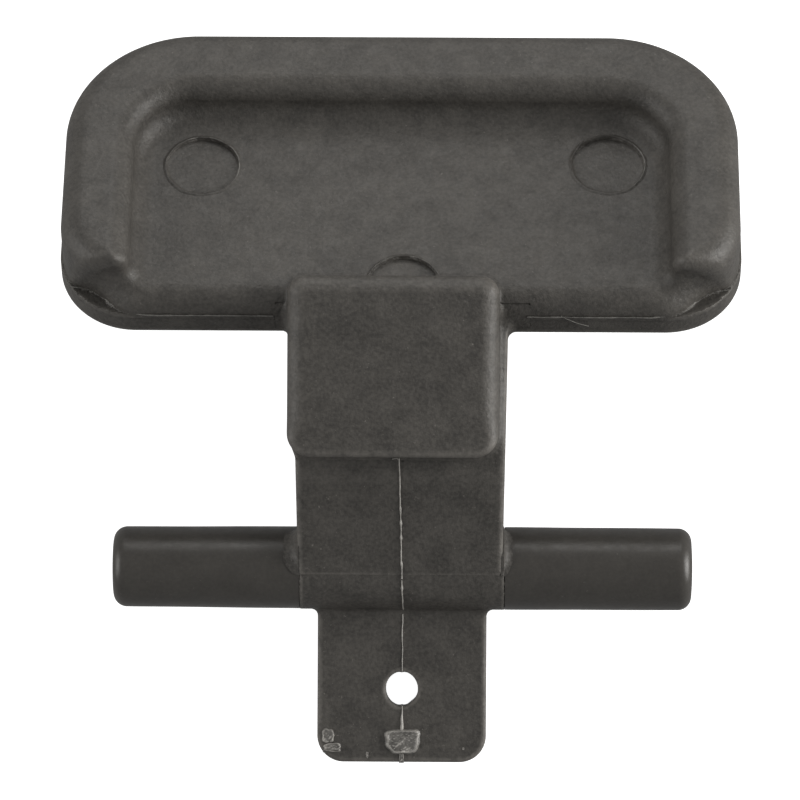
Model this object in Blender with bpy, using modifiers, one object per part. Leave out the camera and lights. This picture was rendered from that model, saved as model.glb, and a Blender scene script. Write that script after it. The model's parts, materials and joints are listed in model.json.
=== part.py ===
"""Radiator bleed key: a dished finger grip on a split stem, with a turning cross bar, a holed tongue and a
square key socket. It lies on its back with the bar along X, the grip towards +Y and its front facing up.

Units are metres, built from millimetre sizes. Three frames are used:
  world       the surface that the key lies on is Z = 0, and the bounding box is centred on X = Y = 0
  key frame   origin on the bar's axis, X along the bar, Y towards the grip, Z out of the key's front
  grip frame  origin on the grip's lower edge at its seam, Y up the grip, Z out of the dish
"""

import math

import bmesh
import bpy
from mathutils import Matrix, Vector

MM = 0.001
ASSEMBLY_GAP = 0.3 * MM
RUNNING_CLEARANCE = 0.15 * MM
ROUND_STEPS = 48
CORNER_STEPS = 8
FLAT_ANGLE = math.radians(1)

# Grip: two shells that meet at a seam, the front one dished.
GRIP_WIDTH = 66.0 * MM
GRIP_HEIGHT = 31.1 * MM
GRIP_TOP_RADIUS = 12.7 * MM
GRIP_BOTTOM_RADIUS = 7.5 * MM
GRIP_LEAN = math.radians(37.5)
GRIP_EDGE_Y = 24.4 * MM
GRIP_EDGE_Z = 9.2 * MM
GRIP_BACK_DEPTH = 3.0 * MM
GRIP_BACK_BEVEL = 1.1 * MM
FLOOR_LEVEL = 2.5 * MM
FLOOR_WIDTH = 62.0 * MM
FLOOR_CORNER = 6.5 * MM
FLOOR_EDGE = 2.0 * MM
RIM_CREST = 6.8 * MM
RIM_SIDE_WIDTH = 6.8 * MM
RIM_TOP_WIDTH = 8.2 * MM
RIM_INNER_CORNER = 6.0 * MM
RIM_END = 2.6 * MM
RIM_SHOULDER = 2.0 * MM
EJECTOR_MARK_RADIUS = 3.5 * MM
EJECTOR_MARK_DEPTH = 0.3 * MM
EJECTOR_MARKS = ((-20.1 * MM, 17.0 * MM), (20.1 * MM, 17.0 * MM), (0.0, 2.0 * MM))

# Stem: two halves that meet at X = 0, each with half of the barrel and half of the tongue.
STEM_HALF_WIDTH = 9.95 * MM
STEM_SIDE_DRAFT = 0.018
STEM_FRONT_LEAN = math.radians(21.0)
STEM_TOP = 14.0 * MM
STEM_BACK_LENGTH = 19.5 * MM
BARREL_RADIUS = 4.05 * MM

# Tongue below the barrel, with its hanging hole.
TONGUE_WIDTH = 16.5 * MM
TONGUE_TIP = -19.0 * MM
TONGUE_THICKNESS = 3.0 * MM
TONGUE_CORNER = 2.6 * MM
TONGUE_HOLE_Y = -11.85 * MM
TONGUE_HOLE_RADIUS = 1.6 * MM

# Block on the front of the stem.
BLOCK_HALF_WIDTH = 10.35 * MM
BLOCK_BOTTOM = 10.9 * MM
BLOCK_TOP = 28.3 * MM
BLOCK_FRONT = 13.5 * MM
BLOCK_ROUNDING = 1.7 * MM

# Cross bar: a rod through the barrel, with an arm pressed on each end.
BAR_LENGTH = 56.6 * MM
ARM_ROOT_RADIUS = 4.02 * MM
ARM_END_RADIUS = 3.94 * MM
ARM_END_ROUNDING = 1.3 * MM
ARM_END_CROWN = 0.12 * MM
ARM_SIDE_GAP = 0.2 * MM
ROD_RADIUS = 2.0 * MM
ROD_LENGTH = 42.0 * MM
ROD_CHAMFER = 0.3 * MM

# Square socket for a 5 mm valve square, let into the back of the stem.
SOCKET_Y = 11.5 * MM
SOCKET_ACROSS = 5.2 * MM
SOCKET_DEPTH = 8.0 * MM
SOCKET_OUTSIDE = 8.4 * MM
SOCKET_LENGTH = 9.6 * MM
SOCKET_EDGE = 0.5 * MM

# Base colours.
GREY = (0.072, 0.068, 0.063)
STEEL = (0.56, 0.56, 0.55)
BRASS = (0.62, 0.45, 0.2)


def grip_point(up, out):
    """(y, z) in the key frame of a point up the grip and out of its seam plane."""
    cos, sin = math.cos(GRIP_LEAN), math.sin(GRIP_LEAN)
    return GRIP_EDGE_Y + up * cos + out * sin, GRIP_EDGE_Z - up * sin + out * cos


def lying_tilt():
    """Angle about X of the line from the tongue's tip that touches the rounded top of the grip's back."""
    round_y, round_z = grip_point(GRIP_HEIGHT - GRIP_BACK_BEVEL, -GRIP_BACK_DEPTH + GRIP_BACK_BEVEL)
    along = round_y - TONGUE_TIP
    down = -TONGUE_THICKNESS - round_z
    return math.atan2(down, along) + math.asin(GRIP_BACK_BEVEL / math.hypot(along, down))


TILT = lying_tilt()
STEM_FRONT = BARREL_RADIUS / math.cos(STEM_FRONT_LEAN) + BLOCK_BOTTOM * math.tan(STEM_FRONT_LEAN)


def lying_matrix():
    """Key frame to world: tilted, lifted until the tongue's tip touches Z = 0, and centred along Y."""
    cos, sin = math.cos(TILT), math.sin(TILT)
    lift = -(TONGUE_TIP * sin - TONGUE_THICKNESS * cos)
    top_y, top_z = grip_point(GRIP_HEIGHT - RIM_SHOULDER, RIM_CREST - RIM_SHOULDER)
    far = top_y * cos - top_z * sin + RIM_SHOULDER
    near = TONGUE_TIP * cos
    return Matrix.Translation((0, -(far + near) / 2, lift)) @ Matrix.Rotation(TILT, 4, "X")


def clear_scene():
    for obj in list(bpy.data.objects):
        bpy.data.objects.remove(obj, do_unlink=True)


def new_collection(name):
    collection = bpy.data.collections.new(name)
    bpy.context.scene.collection.children.link(collection)
    return collection


def material(name, colour, roughness, metallic=0.0):
    made = bpy.data.materials.new(name)
    made.use_nodes = True
    shader = made.node_tree.nodes["Principled BSDF"]
    shader.inputs["Base Color"].default_value = (*colour, 1.0)
    shader.inputs["Roughness"].default_value = roughness
    shader.inputs["Metallic"].default_value = metallic
    return made


def empty(name, parent, matrix):
    frame = bpy.data.objects.new(name, None)
    PARTS.objects.link(frame)
    frame.parent = parent
    frame.matrix_local = matrix
    return frame


def place(obj, collection, parent=None, matrix=None):
    collection.objects.link(obj)
    obj.parent = parent
    obj.matrix_local = matrix or Matrix()
    if collection is CUTTERS:
        obj.hide_render = True
        obj.display_type = "WIRE"
    return obj


def from_bmesh(name, shape):
    mesh = bpy.data.meshes.new(name)
    shape.to_mesh(mesh)
    shape.free()
    return bpy.data.objects.new(name, mesh)


def rounded_outline(corners):
    """Points of a closed outline whose corners are (x, y, radius), each rounded with an arc."""
    points = []
    for index, (x, y, radius) in enumerate(corners):
        here = Vector((x, y))
        if radius == 0:
            points.append(here)
            continue
        before = (Vector(corners[index - 1][:2]) - here).normalized()
        after = (Vector(corners[(index + 1) % len(corners)][:2]) - here).normalized()
        half = before.angle(after) / 2
        centre = here + (before + after).normalized() * radius / math.sin(half)
        start = here + before * radius / math.tan(half) - centre
        sweep = start.angle_signed(here + after * radius / math.tan(half) - centre)
        for step in range(CORNER_STEPS + 1):
            turned = start.copy()
            turned.rotate(Matrix.Rotation(-sweep * step / CORNER_STEPS, 2))
            points.append(centre + turned)
    return points


def plate(name, points, low, high):
    """A mesh object: a flat outline in X and Y with thickness from low to high along Z."""
    curve = bpy.data.curves.new(name, "CURVE")
    curve.dimensions = "2D"
    curve.fill_mode = "BOTH"
    curve.extrude = (high - low) / 2
    spline = curve.splines.new("POLY")
    spline.points.add(len(points) - 1)
    for point, (x, y) in zip(spline.points, points):
        point.co = (x, y, 0, 1)
    spline.use_cyclic_u = True
    guide = bpy.data.objects.new(name + "_outline", curve)
    PARTS.objects.link(guide)
    graph = bpy.context.evaluated_depsgraph_get()
    mesh = bpy.data.meshes.new_from_object(guide.evaluated_get(graph))
    bpy.data.objects.remove(guide, do_unlink=True)
    mesh.name = name
    shape = bmesh.new()
    shape.from_mesh(mesh)
    bmesh.ops.remove_doubles(shape, verts=shape.verts, dist=1e-6)
    bmesh.ops.dissolve_limit(shape, angle_limit=FLAT_ANGLE, verts=shape.verts, edges=shape.edges)
    bmesh.ops.translate(shape, verts=shape.verts, vec=(0, 0, (low + high) / 2))
    bmesh.ops.recalc_face_normals(shape, faces=shape.faces)
    shape.to_mesh(mesh)
    shape.free()
    return bpy.data.objects.new(name, mesh)


def side_prism(name, profile, half_width, draft):
    """A mesh object with a (y, z) profile across the key. Each side widens by draft per unit of y."""
    obj = plate(name, profile, -half_width, half_width)
    for vertex in obj.data.vertices:
        y, z, x = vertex.co
        vertex.co = (math.copysign(half_width + draft * y, x), y, z)
    return obj


def box(name, low, high):
    shape = bmesh.new()
    size = Vector(high) - Vector(low)
    middle = (Vector(high) + Vector(low)) / 2
    bmesh.ops.create_cube(shape, size=1, matrix=Matrix.Translation(middle) @ Matrix.Diagonal((*size, 1)))
    return from_bmesh(name, shape)


def cylinder(name, radius, length):
    """A cylinder along Z, centred on its origin."""
    shape = bmesh.new()
    bmesh.ops.create_cone(
        shape, cap_ends=True, segments=ROUND_STEPS, radius1=radius, radius2=radius, depth=length
    )
    return from_bmesh(name, shape)


def boolean(obj, other, operation):
    modifier = obj.modifiers.new(other.name, "BOOLEAN")
    modifier.operation = operation
    modifier.solver = "EXACT"
    modifier.object = other


def bevel(obj, width, segments, chosen):
    """Rounds the edges for which chosen(point, point) holds."""
    weights = obj.data.attributes.new("bevel_weight_edge", "FLOAT", "EDGE")
    for edge in obj.data.edges:
        first, second = (obj.data.vertices[index].co for index in edge.vertices)
        weights.data[edge.index].value = 1.0 if chosen(first, second) else 0.0
    modifier = obj.modifiers.new("rounding", "BEVEL")
    modifier.limit_method = "WEIGHT"
    modifier.width = width
    modifier.segments = segments


def finish_part(obj, finish, smooth_angle=30):
    obj.data.materials.clear()
    obj.data.materials.append(finish)
    obj.data.shade_smooth()
    obj.data.set_sharp_from_angle(angle=math.radians(smooth_angle))


def grip_outline():
    half = GRIP_WIDTH / 2
    return rounded_outline(
        (
            (-half, 0, GRIP_BOTTOM_RADIUS),
            (half, 0, GRIP_BOTTOM_RADIUS),
            (half, GRIP_HEIGHT, GRIP_TOP_RADIUS),
            (-half, GRIP_HEIGHT, GRIP_TOP_RADIUS),
        )
    )


def rim_outline():
    """The rim's U: along the top and down both sides, with the legs cut off square at RIM_END."""
    half = GRIP_WIDTH / 2
    centre = half - GRIP_BOTTOM_RADIUS
    end_x = centre + math.sqrt(GRIP_BOTTOM_RADIUS**2 - (GRIP_BOTTOM_RADIUS - RIM_END) ** 2)
    inner = half - RIM_SIDE_WIDTH
    top = GRIP_HEIGHT - RIM_TOP_WIDTH
    right_corner = []
    start = math.asin((GRIP_BOTTOM_RADIUS - RIM_END) / GRIP_BOTTOM_RADIUS)
    for step in range(1, CORNER_STEPS):
        angle = -start * (1 - step / CORNER_STEPS)
        right_corner.append(
            (
                centre + GRIP_BOTTOM_RADIUS * math.cos(angle),
                GRIP_BOTTOM_RADIUS * (1 + math.sin(angle)),
                0,
            )
        )
    left_corner = [(-x, y, 0) for x, y, _ in reversed(right_corner)]
    return rounded_outline(
        [
            (end_x, RIM_END, 0),
            *right_corner,
            (half, GRIP_HEIGHT, GRIP_TOP_RADIUS),
            (-half, GRIP_HEIGHT, GRIP_TOP_RADIUS),
            *left_corner,
            (-end_x, RIM_END, 0),
            (-inner, RIM_END, 0),
            (-inner, top, RIM_INNER_CORNER),
            (inner, top, RIM_INNER_CORNER),
            (inner, RIM_END, 0),
        ]
    )


def build_grip(grip_frame):
    half = FLOOR_WIDTH / 2
    floor_top = GRIP_HEIGHT - RIM_TOP_WIDTH / 2
    floor_outline = rounded_outline(
        (
            (-half, 0, FLOOR_CORNER),
            (half, 0, FLOOR_CORNER),
            (half, floor_top, FLOOR_CORNER),
            (-half, floor_top, FLOOR_CORNER),
        )
    )
    dish = plate("grip_dish", floor_outline, ASSEMBLY_GAP / 2, FLOOR_LEVEL)
    place(dish, PARTS, grip_frame)
    bevel(dish, FLOOR_EDGE, 4, lambda a, b: min(a.z, b.z) > FLOOR_LEVEL - 1e-5)
    rim = place(plate("rim", rim_outline(), ASSEMBLY_GAP / 2, RIM_CREST), CUTTERS, grip_frame)
    bevel(rim, RIM_SHOULDER, 4, lambda a, b: min(a.z, b.z) > RIM_CREST - 1e-5)
    boolean(dish, rim, "UNION")
    for number, (x, y) in enumerate(EJECTOR_MARKS, 1):
        mark = cylinder(f"ejector_mark_{number}", EJECTOR_MARK_RADIUS, 2 * EJECTOR_MARK_DEPTH)
        place(mark, CUTTERS, grip_frame, Matrix.Translation((x, y, FLOOR_LEVEL)))
        boolean(dish, mark, "DIFFERENCE")
    finish_part(dish, material("grip_dish", GREY, 0.5))

    back = plate("grip_back", grip_outline(), -GRIP_BACK_DEPTH, -ASSEMBLY_GAP / 2)
    place(back, PARTS, grip_frame)
    bevel(back, GRIP_BACK_BEVEL, 3, lambda a, b: max(a.z, b.z) < -GRIP_BACK_DEPTH + 1e-5)
    finish_part(back, material("grip_back", GREY, 0.5))


def grip_edge_at(level):
    """(y, level) in the key frame of a point at that height, a gap below the grip's lower edge."""
    out = (level - GRIP_EDGE_Z - ASSEMBLY_GAP * math.sin(GRIP_LEAN)) / math.cos(GRIP_LEAN)
    return grip_point(-ASSEMBLY_GAP, out)


def stem_profile():
    """(y, z) outline of the stem in the key frame: front, seat under the grip, slope and flat back."""
    lean = STEM_FRONT_LEAN
    front_foot = (-BARREL_RADIUS * math.sin(lean), BARREL_RADIUS * math.cos(lean))
    front_top = (BLOCK_BOTTOM, STEM_FRONT)
    seat_low = grip_point(-ASSEMBLY_GAP, -GRIP_BACK_DEPTH - ASSEMBLY_GAP)
    seat_high = grip_point(STEM_TOP, -GRIP_BACK_DEPTH - ASSEMBLY_GAP)
    back_foot = (-BARREL_RADIUS * math.sin(TILT), -BARREL_RADIUS * math.cos(TILT))
    back_top = (
        back_foot[0] + STEM_BACK_LENGTH * math.cos(TILT),
        back_foot[1] - STEM_BACK_LENGTH * math.sin(TILT),
    )
    return [front_foot, front_top, grip_edge_at(STEM_FRONT), seat_low, seat_high, back_top, back_foot]


def socket_matrix():
    """World place of the socket: its mouth is level with the stem's flat back, and its axis is upright."""
    on_axis = KEY_MATRIX @ Vector((0, SOCKET_Y, 0))
    back_level = (KEY_MATRIX @ Vector((0, 0, 0))).z - BARREL_RADIUS
    return Matrix.Translation((0, on_axis.y, back_level))


def build_stem_half(name, side, key_frame):
    along_x = Matrix.Rotation(math.pi / 2, 4, "Y")
    stem = side_prism(name, stem_profile(), STEM_HALF_WIDTH, STEM_SIDE_DRAFT)
    place(stem, PARTS, key_frame)
    barrel = cylinder(name + "_barrel", BARREL_RADIUS, 2 * STEM_HALF_WIDTH)
    place(barrel, CUTTERS, key_frame, along_x)
    half = TONGUE_WIDTH / 2
    tongue_outline = rounded_outline(
        (
            (-half, TONGUE_TIP, TONGUE_CORNER),
            (half, TONGUE_TIP, TONGUE_CORNER),
            (half, 0, 0),
            (-half, 0, 0),
        )
    )
    tongue = place(plate(name + "_tongue", tongue_outline, -TONGUE_THICKNESS, 0), CUTTERS, key_frame)
    bore = cylinder(name + "_bore", ROD_RADIUS + RUNNING_CLEARANCE, 4 * STEM_HALF_WIDTH)
    place(bore, CUTTERS, key_frame, along_x)
    hole = cylinder(name + "_hole", TONGUE_HOLE_RADIUS, 4 * TONGUE_THICKNESS)
    place(hole, CUTTERS, key_frame, Matrix.Translation((0, TONGUE_HOLE_Y, 0)))
    across = SOCKET_OUTSIDE / 2 + ASSEMBLY_GAP
    deep = SOCKET_LENGTH + ASSEMBLY_GAP
    pocket = box(name + "_pocket", (-across, -across, -deep), (across, across, deep))
    place(pocket, CUTTERS, None, socket_matrix())
    reach = 2 * GRIP_WIDTH
    seam = ASSEMBLY_GAP / 2
    spans = {1: (-reach, seam), -1: (-seam, reach)}
    low_x, high_x = spans[side]
    other_half = box(name + "_other_half", (low_x, -reach, -reach), (high_x, reach, reach))
    place(other_half, CUTTERS, key_frame)
    for joined in (barrel, tongue):
        boolean(stem, joined, "UNION")
    for removed in (bore, hole, pocket, other_half):
        boolean(stem, removed, "DIFFERENCE")
    finish_part(stem, material(name, GREY, 0.55))


def build_block(key_frame):
    back = STEM_FRONT + ASSEMBLY_GAP
    floor = FLOOR_LEVEL + ASSEMBLY_GAP
    edge_high = grip_point(-ASSEMBLY_GAP, floor)
    up_to_top = (BLOCK_TOP - GRIP_EDGE_Y - floor * math.sin(GRIP_LEAN)) / math.cos(GRIP_LEAN)
    top_back = grip_point(up_to_top, floor)
    profile = [
        (BLOCK_BOTTOM, back),
        (BLOCK_BOTTOM, BLOCK_FRONT),
        (BLOCK_TOP, BLOCK_FRONT),
        top_back,
        edge_high,
        grip_edge_at(back),
    ]
    block = place(side_prism("front_block", profile, BLOCK_HALF_WIDTH, 0), PARTS, key_frame)

    def outer_edge(a, b):
        on_front = min(a.z, b.z) > BLOCK_FRONT - 1e-5
        at_bottom = max(a.y, b.y) < BLOCK_BOTTOM + 1e-5 and a.x * b.x > 0
        at_top = min(a.y, b.y) > BLOCK_TOP - 1e-5 and a.x * b.x > 0
        return on_front or at_bottom or at_top

    bevel(block, BLOCK_ROUNDING, 4, outer_edge)
    finish_part(block, material("front_block", GREY, 0.5))


def turned(name, profile):
    """An object turned about Z from (radius, z) points that run down its outside."""
    mesh = bpy.data.meshes.new(name)
    points = [(radius, 0, z) for radius, z in profile]
    edges = [(index, index + 1) for index in range(len(points) - 1)]
    mesh.from_pydata(points, edges, [])
    obj = bpy.data.objects.new(name, mesh)
    screw = obj.modifiers.new("turning", "SCREW")
    screw.steps = ROUND_STEPS
    screw.render_steps = ROUND_STEPS
    screw.use_merge_vertices = True
    screw.merge_threshold = 1e-5
    screw.use_normal_calculate = False
    screw.use_smooth_shade = True
    return obj


def build_arm(name, side, bar_frame):
    start = STEM_HALF_WIDTH + ARM_SIDE_GAP
    end = BAR_LENGTH / 2
    length = end - start
    rounding = ARM_END_ROUNDING
    shoulder = ARM_END_RADIUS - rounding
    bore_radius = ROD_RADIUS + RUNNING_CLEARANCE
    bore_end = ROD_LENGTH / 2 - start + ASSEMBLY_GAP
    profile = [(0, length), (shoulder, length - ARM_END_CROWN)]
    for step in range(1, CORNER_STEPS + 1):
        angle = math.pi / 2 * step / CORNER_STEPS
        profile.append(
            (
                shoulder + rounding * math.sin(angle),
                length - ARM_END_CROWN - rounding * (1 - math.cos(angle)),
            )
        )
    profile += [(ARM_ROOT_RADIUS, 0), (bore_radius, 0), (bore_radius, bore_end), (0, bore_end)]
    arm = turned(name, profile)
    outwards = Matrix.Rotation(side * math.pi / 2, 4, "Y")
    place(arm, PARTS, bar_frame, Matrix.Translation((side * start, 0, 0)) @ outwards)
    finish_part(arm, material(name, GREY, 0.38))


def build_rod(bar_frame):
    half = ROD_LENGTH / 2
    edge = ROD_RADIUS - ROD_CHAMFER
    profile = [
        (0, half),
        (edge, half),
        (ROD_RADIUS, half - ROD_CHAMFER),
        (ROD_RADIUS, ROD_CHAMFER - half),
        (edge, -half),
        (0, -half),
    ]
    rod = turned("cross_rod", profile)
    place(rod, PARTS, bar_frame, Matrix.Rotation(math.pi / 2, 4, "Y"))
    finish_part(rod, material("cross_rod", STEEL, 0.3, metallic=1.0))


def build_socket():
    outside = SOCKET_OUTSIDE / 2
    inside = SOCKET_ACROSS / 2
    socket = box("socket_insert", (-outside, -outside, 0), (outside, outside, SOCKET_LENGTH))
    place(socket, PARTS, None, socket_matrix())
    bevel(socket, SOCKET_EDGE, 1, lambda a, b: abs(a.z - b.z) > SOCKET_LENGTH / 2)
    square = box("socket_square", (-inside, -inside, -SOCKET_DEPTH), (inside, inside, SOCKET_DEPTH))
    place(square, CUTTERS, None, socket_matrix())
    boolean(socket, square, "DIFFERENCE")
    finish_part(socket, material("socket_insert", BRASS, 0.35, metallic=1.0))


clear_scene()
PARTS = new_collection("radiator_bleed_key")
CUTTERS = new_collection("cutters")
KEY_MATRIX = lying_matrix()
KEY_FRAME = empty("key_frame", None, KEY_MATRIX)
GRIP_MATRIX = Matrix.Translation((0, GRIP_EDGE_Y, GRIP_EDGE_Z)) @ Matrix.Rotation(-GRIP_LEAN, 4, "X")
GRIP_FRAME = empty("grip_frame", KEY_FRAME, GRIP_MATRIX)
BAR_FRAME = empty("bar_frame", KEY_FRAME, Matrix())

build_grip(GRIP_FRAME)
build_block(KEY_FRAME)
build_stem_half("stem_left", -1, KEY_FRAME)
build_stem_half("stem_right", 1, KEY_FRAME)
build_socket()
build_rod(BAR_FRAME)
build_arm("bar_arm_left", -1, BAR_FRAME)
build_arm("bar_arm_right", 1, BAR_FRAME)
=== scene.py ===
"""Looks of the radiator bleed key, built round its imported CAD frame.

Blender's units are metres. The shape functions work in millimetres in the key frame: its origin is on the
bar's axis, X runs along the bar, Y towards the grip and Z out of the key's front. The grip frame has its
origin on the grip's lower edge at the seam, with u up the grip and w out of the dish. Each moulded piece is
the part of one signed-distance body that lies in its own region. Neighbouring regions overlap by CUT_LAP, so
that no crack shows between the pieces.
"""

import json
import math

import bmesh
import bpy
import numpy as np
from mathutils import Matrix, Vector


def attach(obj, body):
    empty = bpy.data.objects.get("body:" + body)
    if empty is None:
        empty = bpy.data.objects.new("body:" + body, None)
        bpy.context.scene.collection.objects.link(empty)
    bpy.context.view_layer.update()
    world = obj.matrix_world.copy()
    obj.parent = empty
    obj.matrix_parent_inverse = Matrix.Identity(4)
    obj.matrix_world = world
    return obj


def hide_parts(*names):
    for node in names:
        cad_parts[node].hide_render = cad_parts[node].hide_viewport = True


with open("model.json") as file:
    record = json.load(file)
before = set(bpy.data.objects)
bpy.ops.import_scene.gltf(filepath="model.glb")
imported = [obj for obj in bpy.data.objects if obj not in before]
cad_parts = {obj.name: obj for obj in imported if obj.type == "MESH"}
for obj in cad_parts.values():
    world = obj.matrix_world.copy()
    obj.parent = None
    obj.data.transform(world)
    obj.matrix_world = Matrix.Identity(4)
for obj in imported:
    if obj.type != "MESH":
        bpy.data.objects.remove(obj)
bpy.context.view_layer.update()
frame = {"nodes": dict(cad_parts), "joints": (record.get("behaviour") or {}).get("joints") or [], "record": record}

MM = 0.001
JOINT = frame["joints"][0]
FRONT_AXIS = next(m["axis"] for m in frame["record"]["mounts"] if m["name"] == "block_front_face")
TILT = math.atan2(-FRONT_AXIS[1], FRONT_AXIS[2])
KEY = Matrix.Translation(JOINT["pos_m"]) @ Matrix.Rotation(TILT, 4, "X")
RANDOM = np.random.default_rng(7)

# Camera, in the key frame.
CAMERA_DISTANCE = 0.55
CAMERA_YAW = math.radians(0.7)
CAMERA_ROLL = math.radians(0.3)
CAMERA_AIM = Vector((-0.32 * MM, 16.4 * MM, 0.0))
VIEW_WIDTH = 78.2 * MM

# Lights: name, place and size in metres, and watts. Each one points at the scene's origin, under the key.
WARM = (1.0, 0.985, 0.96)
LIGHTS = (
    ("key_light", (0.66, 0.05, 0.22), 0.45, 3.2),
    ("low_light", (0.6, 0.0, 0.13), 0.35, 1.1),
    ("fill_light", (-0.66, 0.0, 0.22), 0.45, 1.75),
    ("top_light", (0.0, 0.66, 0.3), 0.45, 1.55),
)
WORLD_STRENGTH = 0.3
FLOOR_SIZE, FLOOR_WHITE, FLOOR_EMISSION = 1.5, 0.9, 0.95

# Sizes in millimetres, as in the CAD source or shifted a little to where the photograph has them.
LEAN = math.radians(37.5)
EDGE_Y, EDGE_Z = 24.4, 9.2
GRIP_WIDTH, GRIP_HEIGHT = 66.0, 31.05
GRIP_TOP_RADIUS, GRIP_BOTTOM_RADIUS = 12.7, 7.5
FRONT_INSET = 0.25
GRIP_SHIFT = -0.25
BACK_DEPTH, BACK_BEVEL, SHELL_LAP = 3.0, 1.1, 1.0
FLOOR_LEVEL, FLOOR_WIDTH, FLOOR_TOP, FLOOR_CORNER, FLOOR_EDGE = 2.5, 57.8, 27.2, 4.0, 2.2
CREST = 6.8
OPENING_HALF, OPENING_TOP, OPENING_CORNER = 26.05, 23.1, 6.0
INNER_SHOULDER, OUTER_SHOULDER, FOOT_FILLET = 2.1, 2.5, 2.1
RIM_END, RIM_END_SLOPE, RIM_END_EDGE = 3.25, 0.287, 1.0
MARK_RADIUS, MARK_GAP, MARK_ROOM = 3.5, 0.05, 0.7
MARKS = ((-19.45, 16.65), (20.1, 17.0), (0.35, 1.85))
STEM_HALF, STEM_DRAFT, STEM_LEAN, STEM_TOP = 9.93, 0.018, math.radians(21), 14.0
STEM_FRONT, STEM_BACK_LENGTH, STEM_FOOT = 8.522, 19.5, -0.6
STEM_FRONT_EDGE, STEM_REAR_EDGE, STEM_SIDE_EDGE = 1.0, 1.5, 0.4
BARREL, BARREL_HALF, BARREL_EDGE = 4.05, 9.985, 0.04
TONGUE_HALF, TONGUE_TIP, TONGUE_THICKNESS, TONGUE_CORNER = 8.25, -19.0, 3.0, 2.6
TONGUE_REACH, TONGUE_TOP, TONGUE_EDGE, TONGUE_JOIN = 15, 1, 0.35, 0.7
HOLE_Y, HOLE_RADIUS, HOLE_EDGE = -11.85, 1.62, 0.22
HOLE_WIDTH_SHARE, HOLE_HEIGHT_SHARE = 0.97, 1.05
STEM_SHIFT, BLOCK_SHIFT = -0.18, -0.87
BLOCK_HALF, BLOCK_LOW, BLOCK_HIGH, BLOCK_BACK, BLOCK_FRONT = 10.12, 10.9, 28.3, 7.5, 13.5
BLOCK_ROUNDING, BLOCK_FOOT_EDGE, BLOCK_FOOT_RISE = 1.7, 0.6, 4
# The fillet between grip, stem and block, which narrows up the grip.
JOIN_RADIUS, NARROW_JOIN = 0.8, 0.35
SOCKET_Y, SOCKET_HALF, SOCKET_LENGTH, SOCKET_GAP, SOCKET_ROOM = 11.5, 4.2, 9.6, 0.05, 0.3
ROD_BORE = 2.15
BAR_HALF, BAR_CROWN = 28.3, 0.1
ARM_START, ARM_ROUNDING, ARM_CHAMFER, ARM_RIPPLE = 10.0, 1.3, 0.02, 0.008
ARM_RADII = {-1: (4.01, 3.92), 1: (4.04, 4.0)}
# The pieces part this far below each other's faces, so that no cut runs along a face.
CUT_DEPTH, CUT_HALF = 0.5, 12.3
CUT_ABOVE_FLOOR, CUT_BELOW_BLOCK = 0.02, 0.3
CUT_LAP = 0.03
BOX_MARGIN = 0.6
STEP = 0.24


# ---------------------------------------------------------------- distances


def join(a, b, radius):
    """Union with a round fillet."""
    corner = np.hypot(np.maximum(radius - a, 0), np.maximum(radius - b, 0))
    return np.maximum(radius, np.minimum(a, b)) - corner


def cut(a, b, radius):
    """Intersection with a round edge."""
    corner = np.hypot(np.maximum(radius + a, 0), np.maximum(radius + b, 0))
    return np.minimum(-radius, np.maximum(a, b)) + corner


def rounded_rectangle(x, y, half_x, half_y, radius):
    """Distance outside a rectangle round the origin, with round corners."""
    qx, qy = np.abs(x) - half_x + radius, np.abs(y) - half_y + radius
    outside = np.hypot(np.maximum(qx, 0), np.maximum(qy, 0))
    return np.minimum(np.maximum(qx, qy), 0) + outside - radius


def to_grip(y, z):
    """(u, w) in the grip frame."""
    cos, sin = math.cos(LEAN), math.sin(LEAN)
    return (y - EDGE_Y) * cos - (z - EDGE_Z) * sin, (y - EDGE_Y) * sin + (z - EDGE_Z) * cos


def from_grip(u, w):
    """(y, z) in the key frame."""
    cos, sin = math.cos(LEAN), math.sin(LEAN)
    return EDGE_Y + u * cos + w * sin, EDGE_Z - u * sin + w * cos


def grip(x, u, w):
    """The dished front and the shell behind it."""
    x = x - GRIP_SHIFT
    middle = GRIP_HEIGHT / 2
    corner = np.where(u > middle, GRIP_TOP_RADIUS, GRIP_BOTTOM_RADIUS)
    outline = rounded_rectangle(x, u - middle, GRIP_WIDTH / 2, middle, corner)
    reach = OPENING_TOP + 20
    opening = rounded_rectangle(x, u - OPENING_TOP + reach, OPENING_HALF, reach, OPENING_CORNER)
    front_outline = rounded_rectangle(x, u - middle, GRIP_WIDTH / 2 - FRONT_INSET, middle, corner)
    rim = np.maximum(cut(front_outline, w - CREST, OUTER_SHOULDER), cut(-opening, w - CREST, INNER_SHOULDER))
    leg_end = (RIM_END - RIM_END_SLOPE * w - u) / math.hypot(1, RIM_END_SLOPE)
    rim = cut(rim, leg_end, RIM_END_EDGE)
    floor = rounded_rectangle(x, u - FLOOR_TOP / 2, FLOOR_WIDTH / 2, FLOOR_TOP / 2, FLOOR_CORNER)
    front = join(rim, cut(floor, w - FLOOR_LEVEL, FLOOR_EDGE), FOOT_FILLET)
    for mark_x, mark_u in MARKS:
        around = np.hypot(x - mark_x, u - mark_u) - MARK_RADIUS + MARK_GAP
        front = np.maximum(front, -np.maximum(around, FLOOR_LEVEL - MARK_ROOM - w))
    back = cut(outline, -BACK_DEPTH - w, BACK_BEVEL)
    return np.minimum(np.maximum(front, -SHELL_LAP - w), np.maximum(back, w))


def line(y, z, start, end):
    """Distance outside the line from start to end, whose outside is on its right."""
    run = np.subtract(end, start) / math.dist(start, end)
    return (y - start[0]) * run[1] - (z - start[1]) * run[0]


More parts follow.
